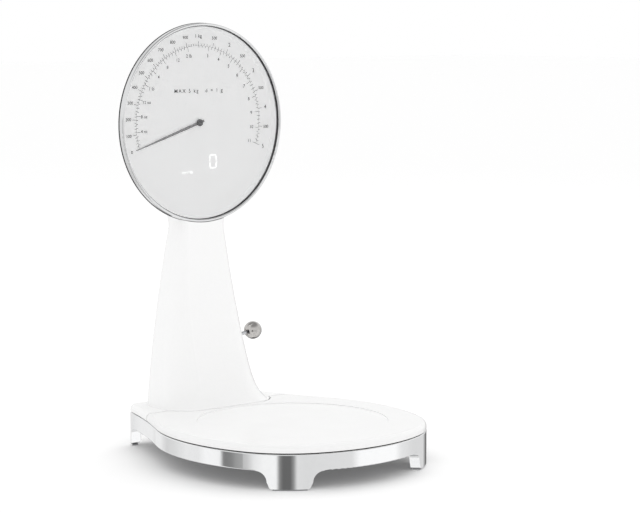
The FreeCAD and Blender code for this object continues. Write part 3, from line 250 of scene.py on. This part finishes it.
WHITE = (0.9, 0.9, 0.898)
# The same white as WHITE, painted lighter for the white_gloss parts to make up for the shade on their upright
# faces: painted light.
BRIGHT_WHITE = (0.94, 0.94, 0.938)
COAT = {"Coat Weight": 0.1, "Coat Roughness": 0.05, "Specular IOR Level": 0.35}
GLASS = {"Transmission Weight": 1.0, "IOR": 1.46}
BRUSHED = (1.0, 0.04, 1.0)
# Painted light: an even glow over the whole dial, making up for the light that the glass in front of it keeps
# off.
PAINTED_DIAL_GLOW = {"Emission Color": (1.0, 1.0, 1.0, 1.0), "Emission Strength": 0.2}
LIT = {"Emission Color": (1.0, 1.0, 1.0, 1.0), "Emission Strength": 0.7}


def make_finishes():
    """One finish for each material slot of the record, and those of the added print, seal and painted gap
    shade.
    """
    make = finish_material
    made = {
        "chrome_base": make("chrome_base", (0.93, 0.935, 0.94), 0.07, 1.0, 0.01, 240, 0.025, 22, 0.02),
        "chrome_bezel": make("chrome_bezel", (0.8, 0.805, 0.81), 0.05, 1.0, 0.01, 260, 0.02, 26, 0.015),
        # white_gloss takes the lightened white: painted light on its upright faces.
        "white_gloss": make("white_gloss", BRIGHT_WHITE, 0.2, 0, 0.005, 420, 0.02, 18, 0.012, sockets=COAT),
        "white_plate": make("white_plate", WHITE, 0.24, 0, 0.005, 460, 0.02, 20, 0.012, sockets=COAT),
        "rubber_pad": make("rubber_pad", (0.32, 0.32, 0.33), 0.72, 0, 0.12, 1500, 0.08, 60, 0.4),
        "dark_plastic": make("dark_plastic", (0.045, 0.046, 0.05), 0.5, 0, 0.2, 1300, 0.1, 50, 0.3),
        "grey_plastic": make("grey_plastic", (0.42, 0.43, 0.44), 0.48, 0, 0.08, 1300, 0.08, 50, 0.3),
        "cell_aluminium": make("cell_aluminium", (0.76, 0.77, 0.78), 0.34, 1.0, 0.08, 900, 0.08, 50, 0.3,
                               stretch=BRUSHED),
        "steel": make("steel", (0.62, 0.63, 0.65), 0.28, 1.0, 0.08, 1100, 0.08, 90, 0.2),
        "nickel_knob": make("nickel_knob", (0.56, 0.545, 0.53), 0.09, 1.0, 0.05, 900, 0.03, 120, 0.06),
        "spring_steel": make("spring_steel", (0.5, 0.51, 0.53), 0.25, 1.0, 0.1, 1500, 0.06, 90, 0.2),
        "brass_gear": make("brass_gear", (0.80, 0.62, 0.30), 0.3, 1.0, 0.08, 1500, 0.08, 120, 0.25),
        "board_green": make("board_green", (0.03, 0.17, 0.08), 0.35, 0, 0.35, 700, 0.1, 90, 0.35),
        "battery_wrap": make("battery_wrap", (0.06, 0.16, 0.42), 0.32, 0, 0.1, 500, 0.08, 60, 0.2),
        "glass_clear": make("glass_clear", (1.0, 1.0, 1.0), 0.0, 0, 0.002, 60, 0.002, 20, 0.002,
                            sockets=GLASS),
        # The dial's glow is painted light, not a lamp.
        "dial_white": make("dial_white", (0.92, 0.923, 0.925), 0.42, 0, 0.012, 2600, 0.04, 40, 0.05,
                           sockets=PAINTED_DIAL_GLOW),
        "pointer_silver": make("pointer_silver", (0.2, 0.2, 0.205), 0.25, 1.0, 0.08, 1200, 0.06, 80, 0.15),
        "display_dark": make("display_dark", (0.04, 0.04, 0.045), 0.3, 0, 0.2, 900, 0.06, 60, 0.1),
    }
    made["print_ink"] = make("print_ink", (0.03, 0.03, 0.032), 0.5, 0, 0.12, 3000, 0.05, 200, 0.1)
    # Dark for the glass seal, and for the painted shade of the gap behind the bezel.
    made["seal_and_gap_shade_black"] = make("seal_and_gap_shade_black", (0.03, 0.03, 0.032), 0.5, 0, 0.2, 1800, 0.08, 90, 0.2)
    made["lit_segment"] = make("lit_segment", (0.9, 0.9, 0.9), 0.4, 0, 0.03, 2500, 0.05, 200, 0.05,
                               sockets=LIT)
    return made


# ---------------------------------------------------------------- dial print
dial_low, dial_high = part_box("dial_plate")
DIAL_CENTRE = (dial_low + dial_high) / 2
INK_BACK = dial_low.y
INK = 0.04 * MM

ZERO_DEG = -18.0
FULL_DEG = 198.0
FINE_SPAN = 108.0
COARSE_SPAN = 27.0
POUND = 0.45359
CAPACITY = 5.0
FINE_STEPS = 50
COARSE_STEPS = 10
OUNCES = 16
FINE_POUNDS = 2
QUARTERS = 4
LAST_POUND = int(CAPACITY / POUND)

TRACK = 62.7 * MM
TRACK_LINE = 0.2 * MM
TRACK_STEPS = 144
TICK = 0.38 * MM
SMALL_TICK = 1.9 * MM
LONG_TICK = 4.0 * MM
OUTER_LABELS = 70.6 * MM
INNER_LABELS = 55.2 * MM
LABEL_SIZE = 3.7 * MM
KILOGRAM_LABEL = 1.15
WHOLE_LABEL = 1.3
POUND_LABEL = 1.1
BOLDER = 0.05 * MM
RATING_RISE = 26 * MM
RATING_SIZE = 4.6 * MM
RATING_SPREAD = 1.35


def dial_angle(mass):
    """Angle on the dial for a mass in kg, in degrees up from the left and on clockwise.

    The first kilogram takes half of the sweep, and the other four the rest."""
    if mass <= 1.0:
        return ZERO_DEG + FINE_SPAN * mass
    return ZERO_DEG + FINE_SPAN + COARSE_SPAN * (mass - 1.0)


def dial_point(radius, degrees, y=INK_BACK):
    angle = math.radians(degrees)
    return Vector((-radius * math.cos(angle), y, DIAL_CENTRE.z + radius * math.sin(angle)))


def prism(mesh, outline, depth=INK):
    """Closed flat solid on the dial's face over an outline of points on it."""
    back = [mesh.verts.new(point) for point in outline]
    front = [mesh.verts.new(point - Vector((0, depth, 0))) for point in outline]
    mesh.faces.new(back)
    mesh.faces.new(front)
    for index, corner in enumerate(back):
        after = (index + 1) % len(back)
        mesh.faces.new((corner, back[after], front[after], front[index]))


def finish_piece(mesh, name, finish, body="stand"):
    """Turns a bmesh into a named piece with its finish, riding on a body."""
    bmesh.ops.recalc_face_normals(mesh, faces=mesh.faces)
    data = bpy.data.meshes.new(name)
    mesh.to_mesh(data)
    mesh.free()
    piece = bpy.data.objects.new(name, data)
    bpy.context.scene.collection.objects.link(piece)
    data.materials.append(finishes[finish])
    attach(piece, body)
    return piece


def add_tick(mesh, degrees, start, end, width=TICK):
    along = dial_point(end, degrees) - dial_point(start, degrees)
    side = along.normalized().cross(Vector((0, 1, 0))) * (width / 2)
    low, high = dial_point(start, degrees), dial_point(end, degrees)
    prism(mesh, [low - side, high - side, high + side, low + side])


def add_track(mesh):
    """The line that the ticks stand on, from zero to full."""
    turns = [ZERO_DEG + (FULL_DEG - ZERO_DEG) * index / TRACK_STEPS for index in range(TRACK_STEPS + 1)]
    for first, second in zip(turns, turns[1:]):
        inner, outer = TRACK - TRACK_LINE / 2, TRACK + TRACK_LINE / 2
        prism(mesh, [dial_point(inner, first), dial_point(outer, first),
                     dial_point(outer, second), dial_point(inner, second)])


def tick_length(index, major):
    return SMALL_TICK if index % major else LONG_TICK


def add_scale():
    """Kilogram ticks outside the track, every 20 g and then every 100 g; ounces and quarter pounds inside."""
    mesh = bmesh.new()
    add_track(mesh)
    for index in range(FINE_STEPS):
        add_tick(mesh, dial_angle(index / FINE_STEPS), TRACK, TRACK + tick_length(index, 5))
    for index in range(int(CAPACITY - 1) * COARSE_STEPS + 1):
        add_tick(mesh, dial_angle(1 + index / COARSE_STEPS), TRACK, TRACK + tick_length(index, 5))
    for index in range(FINE_POUNDS * OUNCES):
        add_tick(mesh, dial_angle(index / OUNCES * POUND), TRACK, TRACK - tick_length(index, 4))
    for index in range(FINE_POUNDS * QUARTERS, LAST_POUND * QUARTERS + 1):
        add_tick(mesh, dial_angle(index / QUARTERS * POUND), TRACK, TRACK - tick_length(index, 4))
    finish_piece(mesh, "dial_scale", "print_ink")


def add_text(mesh, words, centre, size, spread=1.0):
    """Raised lettering on the dial's face, centred on a point of it."""
    curve = bpy.data.curves.new("lettering", "FONT")
    curve.body = words
    curve.size = size
    curve.space_character = spread
    curve.offset = BOLDER
    curve.align_x = "CENTER"
    curve.align_y = "CENTER"
    curve.extrude = INK / 2
    curve.resolution_u = 4
    holder = bpy.data.objects.new("lettering", curve)
    bpy.context.scene.collection.objects.link(holder)
    bpy.context.view_layer.update()
    data = bpy.data.meshes.new_from_object(holder)
    upright = Matrix.Rotation(math.pi / 2, 4, "X")
    data.transform(Matrix.Translation(centre - Vector((0, INK / 2, 0))) @ upright)
    mesh.from_mesh(data)
    bpy.data.objects.remove(holder)
    bpy.data.curves.remove(curve)
    bpy.data.meshes.remove(data)


def add_numerals():
    """Grams and kilograms outside the track, ounces and pounds inside it."""
    mesh = bmesh.new()
    for hundred in range(10):
        add_text(mesh, str(hundred * 100), dial_point(OUTER_LABELS, dial_angle(hundred / 10)), LABEL_SIZE)
    add_text(mesh, "1 kg", dial_point(OUTER_LABELS, dial_angle(1.0)), LABEL_SIZE * KILOGRAM_LABEL)
    for half in range(3, 11):
        words = "500" if half % 2 else str(half // 2)
        size = LABEL_SIZE if half % 2 else LABEL_SIZE * WHOLE_LABEL
        add_text(mesh, words, dial_point(OUTER_LABELS, dial_angle(half / 2)), size)
    for quarter in range(1, FINE_POUNDS * QUARTERS):
        ounces = str(quarter % QUARTERS * OUNCES // QUARTERS) + (" oz" if quarter < QUARTERS else "")
        words = "1 lb" if quarter == QUARTERS else ounces
        add_text(mesh, words, dial_point(INNER_LABELS, dial_angle(quarter / QUARTERS * POUND)), LABEL_SIZE)
    for pounds in range(FINE_POUNDS, LAST_POUND + 1):
        words = "2 lb" if pounds == FINE_POUNDS else str(pounds)
        place = dial_point(INNER_LABELS, dial_angle(pounds * POUND))
        add_text(mesh, words, place, LABEL_SIZE * POUND_LABEL)
    finish_piece(mesh, "dial_numerals", "print_ink")


def add_rating():
    """A plain capacity line in the upper part of the dial."""
    mesh = bmesh.new()
    centre = DIAL_CENTRE + Vector((0, 0, RATING_RISE))
    centre.y = INK_BACK
    add_text(mesh, "MAX 5 kg   d = 1 g", centre, RATING_SIZE, RATING_SPREAD)
    finish_piece(mesh, "dial_rating", "print_ink")


# ---------------------------------------------------------------- head seal and painted gap shade
bezel_low, bezel_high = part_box("bezel")
BEZEL_RADIUS = (bezel_high.x - bezel_low.x) / 2
GLASS_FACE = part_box("dial_glass")[0].y
RING_STEPS = 180
BEZEL_LIP = 2.05 * MM
GLASS_SEAL_WIDTH = 0.6 * MM
GLASS_SEAL_PROUD = 0.02 * MM
GLASS_SEAL_OUTER_DEPTH = 0.5 * MM
GLASS_SEAL_INNER_DEPTH = 0.25 * MM
# The dark ring behind the bezel is painted shade: it stands in for the shade in the gap between bezel and
# housing.
BEZEL_GAP_SHADE_PROUD = 0.2 * MM
BEZEL_GAP_SHADE_THICKNESS = 0.5 * MM
BEZEL_GAP_SHADE_FRONT = 1.0 * MM
BEZEL_GAP_SHADE_BACK = 0.1 * MM


def add_ring(name, section, finish):
    """A closed ring turned about the dial's axis from a section of (radius, y) points."""
    mesh = bmesh.new()
    rows = []
    for step in range(RING_STEPS):
        degrees = 360 * step / RING_STEPS
        rows.append([mesh.verts.new(dial_point(radius, degrees, y)) for radius, y in section])
    for step, row in enumerate(rows):
        after = rows[(step + 1) % RING_STEPS]
        for index in range(len(section)):
            following = (index + 1) % len(section)
            mesh.faces.new((row[index], row[following], after[following], after[index]))
    finish_piece(mesh, name, finish)


def add_seals():
    """The seal that shows between bezel and glass, and a dark ring at the joint behind the bezel, which is
    painted shade of that gap.
    """
    lip = BEZEL_RADIUS - BEZEL_LIP
    inner = lip - GLASS_SEAL_WIDTH
    foot = GLASS_FACE - GLASS_SEAL_PROUD
    add_ring("glass_seal", [(inner, foot), (lip, foot), (lip, GLASS_FACE - GLASS_SEAL_OUTER_DEPTH),
                            (inner, GLASS_FACE - GLASS_SEAL_INNER_DEPTH)], "seal_and_gap_shade_black")
    outer = BEZEL_RADIUS + BEZEL_GAP_SHADE_PROUD
    inner = outer - BEZEL_GAP_SHADE_THICKNESS
    # Painted shade of the gap between bezel and housing: a dark ring a little proud of the bezel's back edge.
    front = bezel_high.y - BEZEL_GAP_SHADE_FRONT
    back = bezel_high.y + BEZEL_GAP_SHADE_BACK
    add_ring("bezel_gap_shade", [(inner, front), (outer, front), (outer, back), (inner, back)],
             "seal_and_gap_shade_black")


# ---------------------------------------------------------------- display
DIGIT_WIDTH = 7.4 * MM
DIGIT_HEIGHT = 11.6 * MM
SEGMENT = 0.98 * MM
SEGMENT_GAP = 0.18 * MM
DIGIT_SIDE = 14.4 * MM
DIGIT_DROP = 32.4 * MM
UNIT_SIDE = 12.0 * MM
UNIT_DROP = 40.4 * MM
UNIT_SIZE = 4.0 * MM
UNIT_SPREAD = 1.1


def add_segment(mesh, start, end):
    """A bar with pointed ends, from start to end."""
    along = (end - start).normalized()
    side = along.cross(Vector((0, 1, 0))) * (SEGMENT / 2)
    tip = along * (SEGMENT / 2)
    low, high = start + along * SEGMENT_GAP, end - along * SEGMENT_GAP
    prism(mesh, [low, low + tip - side, high - tip - side, high, high - tip + side, low + tip + side])


def add_digit():
    """A lit zero: the six outer bars of a seven-bar figure."""
    mesh = bmesh.new()
    half_width = (DIGIT_WIDTH - SEGMENT) / 2
    half_height = (DIGIT_HEIGHT - SEGMENT) / 2
    centre = Vector((DIGIT_SIDE, INK_BACK, DIAL_CENTRE.z - DIGIT_DROP))
    ring = [(-1, -1), (1, -1), (1, 0), (1, 1), (-1, 1), (-1, 0)]
    corners = [centre + Vector((x * half_width, 0, z * half_height)) for x, z in ring]
    for index, corner in enumerate(corners):
        add_segment(mesh, corner, corners[(index + 1) % len(corners)])
    finish_piece(mesh, "lit_digit", "lit_segment")


def add_unit():
    """The lit name of the units, at the left below the digit."""
    mesh = bmesh.new()
    centre = Vector((-UNIT_SIDE, INK_BACK, DIAL_CENTRE.z - UNIT_DROP))
    add_text(mesh, "kg / lb", centre, UNIT_SIZE, UNIT_SPREAD)
    finish_piece(mesh, "lit_unit", "lit_segment")


# ---------------------------------------------------------------- assembly
finishes = make_finishes()
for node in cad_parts.values():
    for place in node.material_slots:
        place.material = finishes[place.material.name.split(".")[0]]

add_scale()
add_numerals()
add_rating()
add_seals()
add_digit()
add_unit()

add_camera()
add_world()
add_floor()
add_key_lamp()
bpy.context.scene.view_settings.view_transform = "Standard"
